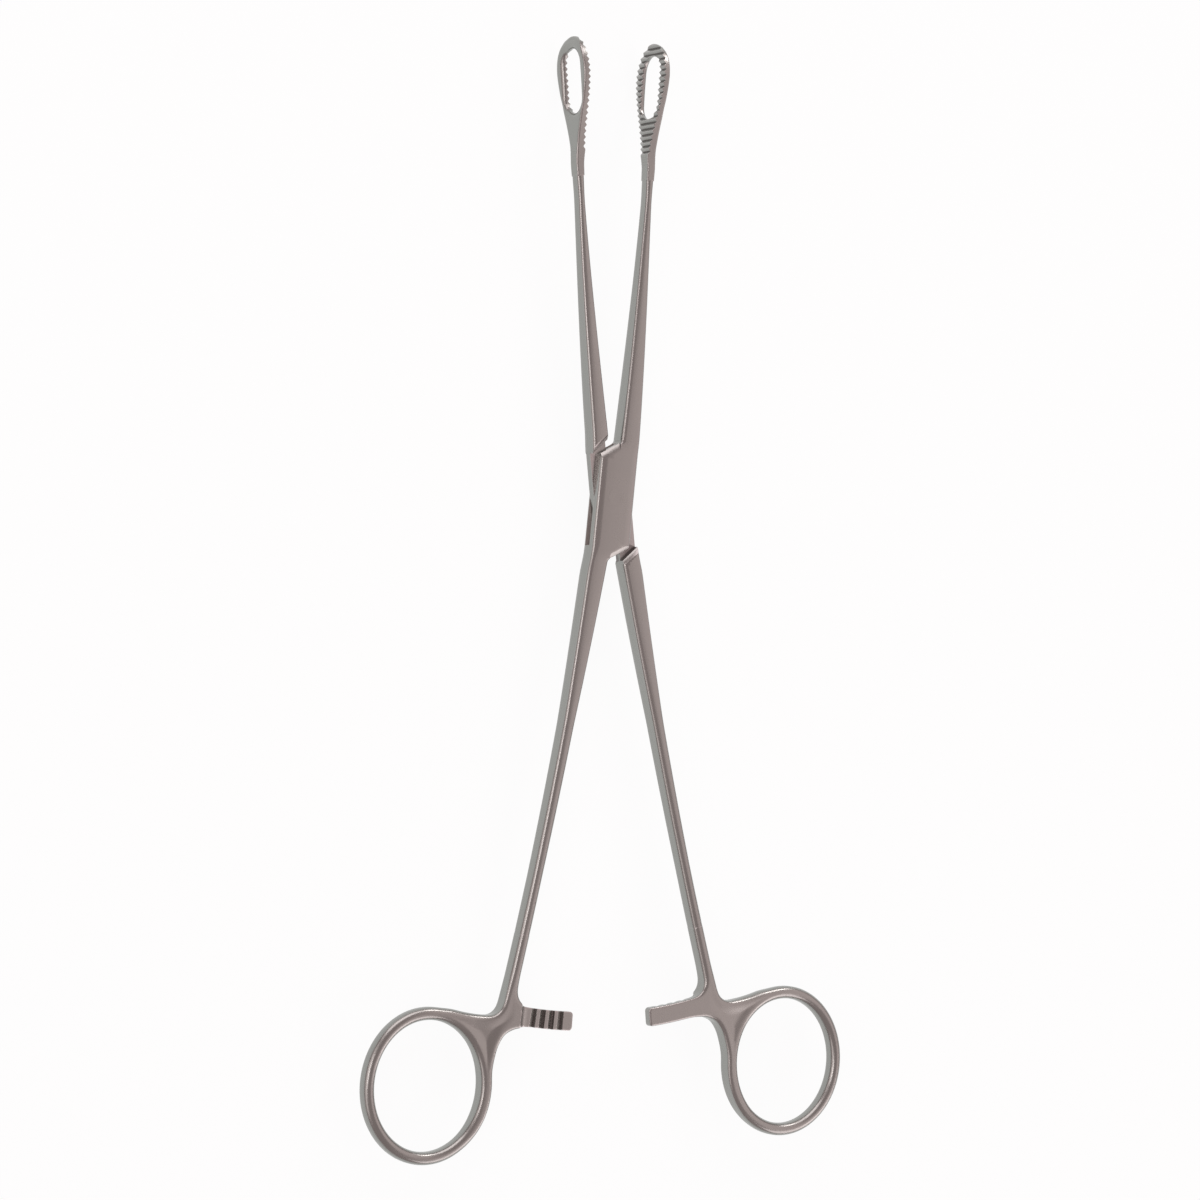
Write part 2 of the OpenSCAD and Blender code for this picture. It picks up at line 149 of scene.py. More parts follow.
evening = {                 # the edges are averaged along the half, so that no bend is abrupt
    "reachShank": 2.2,
    "reachEnd": 0.7,
    "shankFrom": (0.5, 6),  # past the plates' ends
    "shankTo": (5, 9),      # past the jaw's root
    "endBand": (0.3, 1.0),
    "samples": 9,
    "fade": 0.8,            # how much less the farthest sample counts
}
jaw = {
    "reach": 100.2,
    "length": 25.5,
    "width": 11.3,
    "thickness": 2.2,
    "thinning": 0.2,
    "faceRoot": 0.25,
    "toe": 1.3,
    "widestBelowTip": 8.0,
    "widthBlend": 1,
    "tipPowerWidth": 2.2,
    "tipPowerThickness": 4.0,
    "tipThinnest": 0.3,     # least thickness at the tip, squared, as a share
    "tipNarrowest": 0.3,
    "tipShort": 0.02,
    "holeRadius": 3.4,
    "holeLength": 13.9,
    "tipBar": 2.7,
    "toothPitch": 1.27,
    "toothDepth": 0.55,
    "toothShape": (0.5, 0.5, 1.0),  # share of the pitch at which the notch is deep, and is over
    "tipBlank": 0.33,
    "outerEdge": (0.8, 0.45),   # rounding behind, across the jaw and through it, at its outline
    "outerHole": (1.3, 1.0),    # and around the hole
    "outerGrows": (-1, 9),  # the rounding grows from the bar's bevel over this stretch from the root
    "faceEdge": 0.1,
    "faceGrows": (-2, 1),
    "holeEdge": 0.25,       # rounding of the hole's edge on the gripping side
    "holeEdgeDeep": 0.75,
    "start": 70.0,
    "loopSteps": (70, 40),  # points along the sides and round each end of the outline
    "cellsPerTooth": 6,
    "cellsBelow": 28,       # below the first tooth
    "cellThrough": ((-2.9, -0.3, 0.16), (-0.3, 0.2, 0.08)),     # from the gripping face
    "cellAcross": (-5.95, 5.96, 0.17),
}
jawRoot = jaw["reach"] - jaw["length"]
jawWide = jaw["reach"] - jaw["widestBelowTip"]
neckAt = jawRoot - bar["neckBelowJaw"]


def jawCentre(y):
    return bar["jawOffset"] + bar["jawBow"] * np.maximum(0, y - bar["jawBowFrom"]) ** 2


def handleCentre(down):
    return bar["handleOffset"] + bar["handleSlant"] * down + bar["handleBow"] * down ** 2


def handleWidth(down):
    return np.interp(down, [lowEnd, bar["slimAt"], bar["waistAt"], bar["tailAt"]],
                     [bar["boxRoot"], bar["slimWidth"], bar["waistWidth"], bar["tailWidth"]])


def jawFace(y):
    return jaw["faceRoot"] + (y - jawRoot) * math.tan(math.radians(jaw["toe"]))


def jawDepth(y):
    past = np.clip((y - jawWide) / jaw["widestBelowTip"], 0, 1)
    tip = np.sqrt(np.maximum(jaw["tipThinnest"], 1 - past ** jaw["tipPowerThickness"]))
    return jaw["thickness"] * (1 - jaw["thinning"] * ramp(y, jawRoot, jawWide)) * tip


def jawHalfWidth(y):
    past = np.clip((y - jawWide) / jaw["widestBelowTip"], 0, 1)
    tip = jaw["width"] / 2 * np.sqrt(np.maximum(0.0, 1 - past ** jaw["tipPowerWidth"]))
    body = mix(bar["neckThickness"] / 2, jaw["width"] / 2,
               ramp(y, jawRoot - jaw["widthBlend"], jawWide + jaw["widthBlend"]))
    return np.where(y > jawWide, np.minimum(tip, body), body)


def rawSides(y, root):
    # inner and outer edge of a half: the shanks, and between them the plates and their slanted ends
    up = y >= 0
    down = -y
    far = np.abs(y)
    end, corner = np.where(up, plateEnd, lowEnd), np.where(up, plateSide, lowSide)
    jawSlim = np.interp(y, [plateEnd, neckAt, jawRoot], [root, bar["neckWidth"], jaw["thickness"]])
    shankIn = np.where(up, jawCentre(y) + jawSlim / 2, handleCentre(down) - handleWidth(down) / 2)
    shankOut = np.where(up, jawCentre(y) - jawSlim / 2, handleCentre(down) + handleWidth(down) / 2)
    side = np.where(up, halfWidth, -halfWidth)
    crotch = np.where(up, jawCentre(plateEnd) + root / 2, handleCentre(lowEnd) - bar["boxRoot"] / 2)
    slant = mix(side, crotch, np.clip((far - corner) / (end - corner), 0, 1))
    inner = np.where(far < end, slant, shankIn)
    t = np.clip((far - corner) / (end - corner + np.where(up, *bar["plateBlend"])), 0, 1)
    outer = mix(-side, shankOut, t * t * (3 - 2 * t))
    inJaw = y > jawRoot
    return np.where(inJaw, jawFace(y), inner), np.where(inJaw, jawFace(y) - jawDepth(y), outer)


def sides(y, root):
    # crotches, the jaw's root and the shank's bends are evened out; the plates' corners stay crisp
    y = np.asarray(y, float)
    far = np.abs(y)
    end = np.where(y >= 0, plateEnd, lowEnd)
    near, full = (end + past for past in evening["shankFrom"])
    last, none = (jawRoot + past for past in evening["shankTo"])
    reach = evening["reachShank"] * ramp(far, near, full) * (1 - ramp(y, last, none))
    atEnd = 1 - ramp(np.abs(far - end), *evening["endBand"])
    reach = np.maximum(reach, evening["reachEnd"] * atEnd)
    inner, outer, total = 0, 0, 0
    for k in np.linspace(-1, 1, evening["samples"]):
        weight = 1 - evening["fade"] * k * k
        i, o = rawSides(y + k * reach, root)
        inner, outer, total = inner + weight * i, outer + weight * o, total + weight
    return inner / total, outer / total


def halfThickness(y):
    up = mix(halfBox, bar["neckThickness"] / 2, ramp(y, plateEnd, neckAt))
    down = mix(halfBox, bar["tailThickness"] / 2, ramp(-y, plateEnd, bar["waistAt"]))
    return np.where(y >= 0, up, down)


def edgeRound(y):
    down = mix(bar["bevel"], bar["tailRound"], ramp(-y, plateEnd, bar["tailAt"]))
    return np.where(y >= 0, bar["bevel"], down)


# Meshes

def makeObject(name, verts, faces):
    mesh = bpy.data.meshes.new(name)
    mesh.from_pydata([tuple(v) for v in verts], [], [tuple(int(i) for i in f) for f in faces])
    mesh.update()
    made = bpy.data.objects.new(name, mesh)
    bpy.context.scene.collection.objects.link(made)
    return made


def faceOutwards(obj):
    bm = bmesh.new()
    bm.from_mesh(obj.data)
    bmesh.ops.recalc_face_normals(bm, faces=bm.faces)
    bm.to_mesh(obj.data)
    bm.free()


def section(low, high, half, leg, power, crown, sideCrown):
    # a rectangle with rounded corners and slightly crowned faces, from low to high across
    theta = np.linspace(0, math.pi / 2, bar["cornerPoints"])
    cx, cz = np.cos(theta) ** (2 / power), np.sin(theta) ** (2 / power)
    legX = min(leg, (high - low) * bar["cornerMost"])
    points = []
    corners = [(high - legX, half - leg, cx, cz), (low + legX, half - leg, -cz, cx),
               (low + legX, -half + leg, -cx, -cz), (high - legX, -half + leg, cz, -cx)]
    for i, (x, z, ax, az) in enumerate(corners):
        arc = [(x + legX * ax[k], z + leg * az[k]) for k in range(bar["cornerPoints"])]
        points += arc
        nx = corners[(i + 1) % 4]
        last, first = arc[-1], (nx[0] + legX * nx[2][0], nx[1] + leg * nx[3][0])
        steps = bar["facePoints"][i % 2]
        points += [(mix(last[0], first[0], k / steps), mix(last[1], first[1], k / steps))
                   for k in range(1, steps)]
    made = np.array(points)
    across = (made[:, 0] - (low + high) / 2) / ((high - low) / 2)
    through = made[:, 1] / half
    made[:, 1] -= np.sign(made[:, 1]) * crown * across ** 2 * np.abs(through)
    made[:, 0] -= np.sign(across) * sideCrown * through ** 2 * np.abs(across)
    return made


def skinned(name, verts, n, m):
    # a closed skin over m loops of n points
    faces = [list(range(n)), list(range((m - 1) * n, m * n))[::-1]]
    for low, high in ((i * n, (i + 1) * n) for i in range(m - 1)):
        for j in range(n):
            k = (j + 1) % n
            faces.append([low + j, low + k, high + k, high + j])
    made = makeObject(name, verts, faces)
    faceOutwards(made)
    return made


def barHeights(low, high):
    # where the sections lie: close together at the plates' ends, wide apart along the shanks
    wide, near, fine = bar["spacing"]
    return np.unique(np.round(np.concatenate([
        np.arange(low, -lowEnd - 5, wide), np.arange(-lowEnd - 5, -lowEnd - 1, near),
        np.arange(-lowEnd - 0.9, -lowEnd + 1, fine), np.linspace(-lowEnd + 1, -lowSide - 0.3, 4),
        [-lowSide], np.linspace(-lowSide + 1, plateSide - 1, 9), [plateSide],
        np.linspace(plateSide + 0.3, plateEnd - 1, 4), np.arange(plateEnd - 0.9, plateEnd + 1, fine),
        np.arange(plateEnd + 1, plateEnd + 5, near), np.arange(plateEnd + 5, high, wide), [high]]), 4))


def barMesh(name, root):
    heights = barHeights(-ring["start"] - bar["overlap"], jaw["start"] + bar["overlap"])
    inner, outer = sides(heights, root)
    rings = []
    for y, a, b, half, leg in zip(heights, inner, outer, halfThickness(heights), edgeRound(heights)):
        tuck = bar["inset"] if y < -ring["start"] + 1 or y > jaw["start"] - 1 else 0
        away = float(ramp(abs(y), plateEnd, bar["roundAt"]))
        power, sideCrown = (mix(*bar[label], away) for label in ("power", "sideCrown"))
        pts = section(min(a, b) + tuck, max(a, b) - tuck, half - tuck, leg, power,
                      mix(bar["crownBox"], bar["crownTail"], away), sideCrown)
        rings.append(np.column_stack([pts[:, 0], np.full(len(pts), y), pts[:, 1]]))
    return skinned(name, np.vstack(rings), len(rings[0]), len(rings))


def prism(name, levels):
    # a solid through loops of (x, y) at rising or falling heights
    verts = [(x, y, z) for z, loop in levels for x, y in loop]
    return skinned(name, verts, len(levels[0][1]), len(levels))


def applyModifiers(obj):
    mesh = bpy.data.meshes.new_from_object(obj.evaluated_get(bpy.context.evaluated_depsgraph_get()))
    obj.modifiers.clear()
    obj.data = mesh


def cutWith(obj, cutters):
    for cutter in cutters:
        modifier = obj.modifiers.new("cut", "BOOLEAN")
        modifier.operation = "DIFFERENCE"
        modifier.solver = "EXACT"
        modifier.object = cutter
    applyModifiers(obj)
    for cutter in cutters:
        bpy.data.objects.remove(cutter)


def circle(radius, steps=72):
    return [(radius * math.cos(2 * math.pi * k / steps), radius * math.sin(2 * math.pi * k / steps))
            for k in range(steps)]


# Signed distance of points to closed outlines: below zero inside the first and outside the others

def outlineDistance(px, py, loops):
    shape = np.shape(px)
    px, py = np.ravel(px), np.ravel(py)
    nearest = np.full(px.shape, 1e9)
    inside = np.zeros(px.shape, bool)
    for loop in loops:
        a = np.asarray(loop)
        b = np.roll(a, -1, axis=0)
        for (ax, ay), (bx, by) in zip(a, b):
            dx, dy = bx - ax, by - ay
            t = np.clip(((px - ax) * dx + (py - ay) * dy) / max(dx * dx + dy * dy, 1e-12), 0, 1)
            nearest = np.minimum(nearest, (px - ax - t * dx) ** 2 + (py - ay - t * dy) ** 2)
            if ay != by:
                crosses = (ay > py) != (by > py)
                inside ^= crosses & (px < ax + (py - ay) * dx / dy)
    d = np.sqrt(nearest)
    return np.where(inside, -d, d).reshape(shape)


def evenOut(points, step, rounds, keep):
    # spaces a closed outline evenly and softens it, apart from the points in the box that is kept
    p = np.vstack([points, points[:1]])
    length = np.concatenate([[0], np.cumsum(np.hypot(*np.diff(p, axis=0).T))])
    count = int(length[-1] / step)
    at = np.linspace(0, length[-1], count, endpoint=False)
    q = np.column_stack([np.interp(at, length, p[:, k]) for k in (0, 1)])
    low, high = keep
    free = ~((q > low) & (q < high)).all(1)
    for _ in range(rounds):
        q[free] = (0.5 * q + 0.25 * np.roll(q, 1, axis=0) + 0.25 * np.roll(q, -1, axis=0))[free]
    return q


# A skin over the places where a field is zero, on a grid that may be bent and uneven

def netMesh(name, field, us, vs, ws, place):
    u, v, w = np.meshgrid(us, vs, ws, indexing="ij")
    value = field(*place(u, v, w))
    coords = [np.asarray(us), np.asarray(vs), np.asarray(ws)]
    shape = tuple(len(c) - 1 for c in coords)
    total, count = np.zeros(shape + (3,)), np.zeros(shape)
    for axis in range(3):
        others = [a for a in range(3) if a != axis]
        for da in (0, 1):
            for db in (0, 1):
                pick = [slice(None)] * 3
                pick[others[0]] = slice(da, shape[others[0]] + da)
                pick[others[1]] = slice(db, shape[others[1]] + db)
                first, second = list(pick), list(pick)
                first[axis], second[axis] = slice(0, -1), slice(1, None)
                f0, f1 = value[tuple(first)], value[tuple(second)]
                crossing = (f0 < 0) != (f1 < 0)
                t = np.where(crossing, f0 / np.where(crossing, f0 - f1, 1), 0)
                grids = np.meshgrid(*[coords[a][:-1] if a == axis else coords[a][pick[a]]
                                      for a in range(3)], indexing="ij")
                step = np.diff(coords[axis])
                bent = [1, 1, 1]
                bent[axis] = -1
                grids[axis] = grids[axis] + t * step.reshape(bent)
                for a in range(3):
                    total[..., a] += np.where(crossing, grids[a], 0)
                count += crossing
    used = count > 0
    index = np.full(shape, -1)
    index[used] = np.arange(used.sum())
    flat = total[used] / count[used][:, None]
    points = np.column_stack(place(flat[:, 0], flat[:, 1], flat[:, 2]))
    for _ in range(3):
        points = towardsZero(field, points)
    quads = []
    for axis in range(3):
        f = np.moveaxis(value, axis, 0) < 0
        c = np.moveaxis(index, axis, 0)
        a, b = f[:-1, 1:-1, 1:-1], f[1:, 1:-1, 1:-1]
        cells = np.stack([c[:, :-1, :-1], c[:, 1:, :-1], c[:, 1:, 1:], c[:, :-1, 1:]], -1)
        quads += [cells[a & ~b], cells[~a & b][:, ::-1]]
    made = makeObject(name, points, np.vstack(quads))
    faceOutwards(made)
    return made


def towardsZero(field, points, tiny=0.01, most=0.12):
    # one step down the field's slope
    x, y, z = points.T
    f = field(x, y, z)
    slope = np.column_stack([(field(x + tiny, y, z) - field(x - tiny, y, z)),
                             (field(x, y + tiny, z) - field(x, y - tiny, z)),
                             (field(x, y, z + tiny) - field(x, y, z - tiny))]) / (2 * tiny)
    move = -f[:, None] * slope / np.maximum((slope ** 2).sum(1), 0.05)[:, None]
    length = np.maximum(np.linalg.norm(move, axis=1), 1e-9)
    return points + move * np.minimum(1, most / length)[:, None]


def roundedEdge(inside, across, through):
    # how far an edge falls back, at a distance inside the outline
    t = np.clip(1 - inside / across, 0, 1)
    return through * (1 - np.sqrt(np.maximum(0, 1 - t * t)))


# The jaw: a ring with a domed outer face, flat towards the other jaw

toothCount = int((jaw["length"] - jaw["tipBlank"] - 1) / jaw["toothPitch"])
toothStart = jaw["reach"] - jaw["tipBlank"] - toothCount * jaw["toothPitch"]


def jawLoops():
    along, around = jaw["loopSteps"]
    closing = 1 - np.sin(np.linspace(jaw["tipShort"], math.pi / 2, around))
    heights = np.concatenate([np.linspace(jaw["start"], jawWide, along),
                              jaw["reach"] - jaw["tipShort"] - jaw["widestBelowTip"] * closing])
    widths = np.maximum(jawHalfWidth(heights), jaw["tipNarrowest"])
    outer = np.vstack([np.column_stack([widths, heights]), np.column_stack([-widths, heights])[::-1]])
    r = jaw["holeRadius"]
    top, bottom = jaw["reach"] - jaw["tipBar"] - r, jaw["reach"] - jaw["tipBar"] - jaw["holeLength"] + r
    turn = np.linspace(0, math.pi, around)
    hole = np.vstack([np.column_stack([r * np.cos(turn), top + r * np.sin(turn)]),
                      np.column_stack([-r * np.cos(turn), bottom - r * np.sin(turn)])])
    return [outer, hole]


def jawField(root):
    loops = jawLoops()

    def field(x, y, z):
        inner, outer = sides(y, root)
        if np.ndim(x) == 3:      # on the grid the plan is the same through the thickness
            edge, hole = (outlineDistance(z[0], y[0], [loop])[None] for loop in loops)
        else:
            edge, hole = (outlineDistance(z, y, [loop]) for loop in loops)
        plan = np.maximum(edge, -hole)
        inside = np.maximum(-plan, 0)
        grown, faceGrown = (ramp(y, jawRoot + jaw[label][0], jawRoot + jaw[label][1])
                            for label in ("outerGrows", "faceGrows"))
        outRound = (mix(bar["bevel"], size, grown) for size in jaw["outerEdge"])
        outX = outer + roundedEdge(np.maximum(-edge, 0), *outRound)
        outX = outX + grown * roundedEdge(np.maximum(hole, 0), *jaw["outerHole"])
        inRound = mix(bar["bevel"], jaw["faceEdge"], faceGrown)
        inX = inner - roundedEdge(inside, inRound, inRound)
        deep = jaw["holeEdgeDeep"] * jaw["holeEdge"]
        inX = inX - grown * roundedEdge(np.maximum(hole, 0), jaw["holeEdge"], deep)
        return np.maximum(np.maximum(plan, jaw["start"] - y), np.maximum(outX - x, x - inX))

    return field


def spans(ranges):
    return np.concatenate([np.arange(*span) for span in ranges])


def jawMesh(name, root):
    cell = jaw["toothPitch"] / jaw["cellsPerTooth"]
    first = toothStart - 0.5 * cell - jaw["cellsBelow"] * cell
    vs = np.arange(first, jaw["reach"] + 2 * cell, cell)

    def place(u, v, w):
        if np.ndim(u) == 3:
            return sides(v[0, :, 0], root)[0].reshape(1, -1, 1) + u, v, w
        return sides(v, root)[0] + u, v, w

    made = netMesh(name, jawField(root), spans(jaw["cellThrough"]), vs, np.arange(*jaw["cellAcross"]),
                   place)
    points = meshPoints(made)
    depth = sides(points[:, 1], root)[0] - points[:, 0]
    addAttribute(made, "along", points[:, 1])
    addAttribute(made, "grip", np.clip(1 - depth / (2 * jaw["toothDepth"]), 0, 1))
    addAttribute(made, "into", np.tile([-1.0, 0, 0], (len(points), 1)))
    return made


# The finger ring, the web and the ratchet arm, in plan and through the thickness

ring = {
    "centre": (32.2, -129.6),
    "holeHalf": (12.95, 13.95),
    "bar": 2.8,
    "thickness": 3.4,
    "turn": 5.0,
    "round": 1.4,
    "dish": 0.3,            # how much the web is hollowed between the ring and the shank
    "dishEdge": (1.1, 3.6),     # inside the outline
    "webRound": 0.9,
    "start": 96.0,
    "bodyFrom": (104, 111),     # down the handle, where the bar's section becomes the ring's
    "barHalf": 1.45,
    "arc": (101, -187),     # degrees of the ring's outside that are free of the web
    "arcSteps": 120,
    "sink": 0.02,
    "innerCorner": (111.3, 3.2),    # height and radius, between the arm and the shank
    "outerCorner": (113.9, -0.1, 113.95, 3.3),  # height, shift, depth and radius at the web
    "webTop": [(21.5, -113.8), (25.0, -113.5), (28.0, -113.0)],
    "webLow": [(16.75, -124.2), (16.1, -120.4), (14.7, -117.7), (12.1, -116.3), (9.5, -115.85)],
    "evenStep": 0.4,
    "evenRounds": 10,
    "cellsAlong": ((-3.5, 11.0, 0.13), (11.0, 50.5, 0.3)),
    "cellsDown": ((95.5, 109.5, 0.5), (109.5, 119, 0.25), (119, 152, 0.3)),
    "cellThrough": (-2.1, 2.11, 0.19),
}
ratchet = {
    "radius": 114.0,
    "height": 4.1,
    "tip": 3.1,
    "tipRound": 0.7,
    "gap": 0.1,
    "pitch": 2.3,
    "depth": 0.7,
    "toothShape": (0.03, 0.15, 0.62),
    "teeth": 3,
    "lead": 2.5,
    "reliefFromFoot": 6.2,
    "reliefRun": 2.6,       # length of the hollow that runs from the web down to the teeth
    "reliefDeep": 2.1,
    "reliefBand": 6,        # half the width of the band that the arm lies in
    "reliefRound": 0.12,
    "edge": 0.4,
    "tipSide": 2,           # where the tip's two corners look back to
    "upperEdge": (-1, 9),   # along the arm
    "lowerEdge": (7.5, -1),
    "tipBox": ((-4, -117), (-1.6, -110)),   # no evening out here
    "gripDeep": 1.6,        # how deep the notches are felt, in tooth depths
    "gripPast": 0.2,
}


def ringPoints(angles, add):
    a, b = ring["holeHalf"][0] + add, ring["holeHalf"][1] + add
    t = np.radians(angles)
    x, y = turned((a * np.cos(t), b * np.sin(t)), -ring["turn"])
    return np.column_stack([x + ring["centre"][0], y + ring["centre"][1]])


def armPoints(along, out):
    angle, far = np.asarray(along) / ratchet["radius"], ratchet["radius"] + out
    return np.column_stack([far * np.sin(angle), -far * np.cos(angle)])


def corner(before, at, after, radius, steps=8):
    # points of a round corner between two straight edges
    p, a, b = (np.asarray(q, float) for q in (at, before, after))
    da, db = (a - p) / np.linalg.norm(a - p), (b - p) / np.linalg.norm(b - p)
    half = math.acos(np.clip(da @ db, -1, 1)) / 2
    centre = p + (da + db) / np.linalg.norm(da + db) * radius / math.sin(half)
    start, end = p + da * radius / math.tan(half), p + db * radius / math.tan(half)
    t0 = math.atan2(*(start - centre)[::-1])
    turn = (math.atan2(*(end - centre)[::-1]) - t0 + math.pi) % (2 * math.pi) - math.pi
    return [centre + radius * np.array([math.cos(t0 + turn * k / steps), math.sin(t0 + turn * k / steps)])
            for k in range(steps + 1)]


footX = float(handleCentre(ratchet["radius"]))


def handleLoops():
    # the arm's tip and upper edge, up the shank and down again, the web, the ring and the lower edge
    h, tipRound = ratchet["height"] / 2, ratchet["tipRound"]
    tipLow, tipHigh = (armPoints([-ratchet["tip"]], out)[0] for out in (h, -h))
    low, high = (armPoints([ratchet["tipSide"]], out)[0] for out in (h, -h))
    loop = corner(low, tipLow, tipHigh, tipRound) + corner(tipLow, tipHigh, high, tipRound)
    loop += list(armPoints(np.linspace(*ratchet["upperEdge"], 12), -h))
    downs = np.linspace(106, ring["start"] - bar["overlap"], 12)
    innerEdge = np.column_stack([handleCentre(downs) - handleWidth(downs) / 2, -downs])
    outerEdge = np.column_stack([handleCentre(downs) + handleWidth(downs) / 2, -downs])
    down, cornerRound = ring["innerCorner"]
    inCorner = (handleCentre(down) - handleWidth(down) / 2, -down)
    loop += corner(loop[-1], inCorner, innerEdge[0], cornerRound)
    loop += list(innerEdge) + list(outerEdge[::-1])
    down, shift, depth, cornerRound = ring["outerCorner"]
    outCorner = (handleCentre(down) + handleWidth(down) / 2 + shift, -depth)
    loop += corner(outerEdge[0], outCorner, ring["webTop"][0], cornerRound) + ring["webTop"]
    loop += list(ringPoints(np.linspace(*ring["arc"], ring["arcSteps"]), ring["bar"] - ring["sink"]))
    loop += ring["webLow"] + list(armPoints(np.linspace(*ratchet["lowerEdge"], 10), h))
    outer = evenOut(np.array(loop), ring["evenStep"], ring["evenRounds"], ratchet["tipBox"])
    return [outer, ringPoints(np.linspace(0, 360, ring["arcSteps"], endpoint=False), 0)]


def handleField(side):
    loops = handleLoops()

    def field(x, y, z):
        if np.ndim(x) == 3:
            plan = outlineDistance(x[:, :, 0], y[:, :, 0], loops)[..., None]
        else:
            plan = outlineDistance(x, y, loops)
        down = -y
        fromShank = np.abs(x - handleCentre(down)) / ring["barHalf"]
        half = mix(bar["tailThickness"] / 2, ring["thickness"] / 2, ramp(x, footX + 1, footX + 8))
        beside = ramp(down, *ring["bodyFrom"])
        half = half - bar["crownTail"] * (1 - beside) * np.minimum(fromShank, 1) ** 2
        deepIn = ramp(-plan, *ring["dishEdge"]) * ramp(x, footX - 2, footX + 3)
        half = half - ring["dish"] * deepIn
        leg = mix(ratchet["edge"], ring["webRound"], ramp(x, 9, 14))
        leg = mix(leg, ring["round"], ramp(x, footX + 2, footX + 9))
        leg = mix(edgeRound(y), leg, beside)
        qx, qz = plan + leg, np.abs(z) - half + leg
        body = np.minimum(np.maximum(qx, qz), 0) + np.hypot(np.maximum(qx, 0), np.maximum(qz, 0)) - leg
        body = np.maximum(body, ring["start"] - down)
        # one half of the thickness is cut away along the arm, with a hollow up to the web
        rise = np.clip((x - (footX - ratchet["reliefFromFoot"])) / ratchet["reliefRun"], 0, 1)
        hollow = 1 - np.sqrt(np.maximum(0, 1 - rise ** 2))
        faceZ = -ratchet["gap"] / 2 + ratchet["reliefDeep"] * hollow
        offArm = np.abs(np.hypot(x, y) - ratchet["radius"]) - ratchet["reliefBand"]
        cut = smoothMax(body, -side * z - faceZ, ratchet["reliefRound"])
        return np.where(np.maximum(x - footX, offArm) > 0, body, cut)

    return field


def smoothMax(a, b, k):
    h = np.clip(0.5 + 0.5 * (a - b) / k, 0, 1)
    return mix(b, a, h) + k * h * (1 - h)


def handleMesh(name, side):
    # the grid is bent round the pivot, as the arm is
    made = netMesh(name, handleField(side), spans(ring["cellsAlong"]), spans(ring["cellsDown"]),
                   np.arange(*ring["cellThrough"]),
                   lambda u, v, w: (v * np.sin(u / ratchet["radius"]), -v * np.cos(u / ratchet["radius"]), w))
    points = meshPoints(made)
    along = ratchet["radius"] * np.arctan2(points[:, 0], -points[:, 1])
    depth = np.abs(points[:, 2] * side - ratchet["gap"] / 2)
    near = along < footX - ratchet["reliefFromFoot"] + ratchet["gripPast"]
    felt = np.clip(1 - depth / (ratchet["gripDeep"] * ratchet["depth"]), 0, 1)
    addAttribute(made, "along", along)
    addAttribute(made, "grip", np.where(near, felt, 0))
    addAttribute(made, "into", np.tile([0.0, 0, side], (len(points), 1)))
    return made


def meshPoints(obj):
    co = np.empty(len(obj.data.vertices) * 3)
    obj.data.vertices.foreach_get("co", co)
    return co.reshape(-1, 3)


def addAttribute(obj, name, values):
    values = np.asarray(values, np.float32)
    kind = "FLOAT" if values.ndim == 1 else "FLOAT_VECTOR"
    made = obj.data.attributes.new(name, kind, "POINT")
    made.data.foreach_set("value" if kind == "FLOAT" else "vector", values.ravel())


# Node trees

def addNode(tree, kind, sockets=None, **settings):
    # sockets are given a value or another node's output
    node = tree.nodes.new(kind)
    for label, value in settings.items():
        setattr(node, label, value)
    for label, value in (sockets or {}).items():
        if isinstance(value, bpy.types.NodeSocket):
            tree.links.new(value, node.inputs[label])
        else:
            node.inputs[label].default_value = value
    return node


# Geometry Nodes: notches at an even pitch, pressed into a face along its length

def makeNotchTree():
    tree = bpy.data.node_groups.new("evenNotches", "GeometryNodeTree")
    tree.interface.new_socket("Geometry", in_out="INPUT", socket_type="NodeSocketGeometry")
    for label in ("Pitch", "Depth", "First", "Count", "Rise", "Floor", "Flank"):
        tree.interface.new_socket(label, in_out="INPUT", socket_type="NodeSocketFloat")
    tree.interface.new_socket("Finish", in_out="INPUT", socket_type="NodeSocketMaterial")
    tree.interface.new_socket("Geometry", in_out="OUTPUT", socket_type="NodeSocketGeometry")
    given = tree.nodes.new("NodeGroupInput").outputs
    out = tree.nodes.new("NodeGroupOutput")

    def attribute(name, kind):
        return addNode(tree, "GeometryNodeInputNamedAttribute", {"Name": name},
                       data_type=kind).outputs["Attribute"]

    def calc(operation, *values, clamp=False):
        return addNode(tree, "ShaderNodeMath", dict(enumerate(values)),
                       operation=operation, use_clamp=clamp).outputs[0]

    steps = calc("DIVIDE", calc("SUBTRACT", attribute("along", "FLOAT"), given["First"]), given["Pitch"])
    part = calc("FRACT", steps)
    rising = calc("DIVIDE", part, given["Rise"])
    falling = calc("DIVIDE", calc("SUBTRACT", given["Flank"], part),
                   calc("SUBTRACT", given["Flank"], given["Floor"]))
    notch = calc("MINIMUM", rising, falling, clamp=True)
    within = calc("MULTIPLY", calc("GREATER_THAN", steps, -1e-4), calc("LESS_THAN", steps, given["Count"]))
    amount = calc("MULTIPLY", calc("MULTIPLY", notch, within),
                  calc("MULTIPLY", attribute("grip", "FLOAT"), given["Depth"]))
    push = addNode(tree, "ShaderNodeVectorMath", {0: attribute("into", "FLOAT_VECTOR"), "Scale": amount},
                   operation="SCALE")
    move = addNode(tree, "GeometryNodeSetPosition",
                   {"Geometry": given["Geometry"], "Offset": push.outputs[0]})
    real = addNode(tree, "GeometryNodeRealizeInstances", {0: move.outputs[0]})
    finish = addNode(tree, "GeometryNodeSetMaterial",
                     {"Geometry": real.outputs[0], "Material": given["Finish"]})
    tree.links.new(finish.outputs[0], out.inputs[0])
    return tree


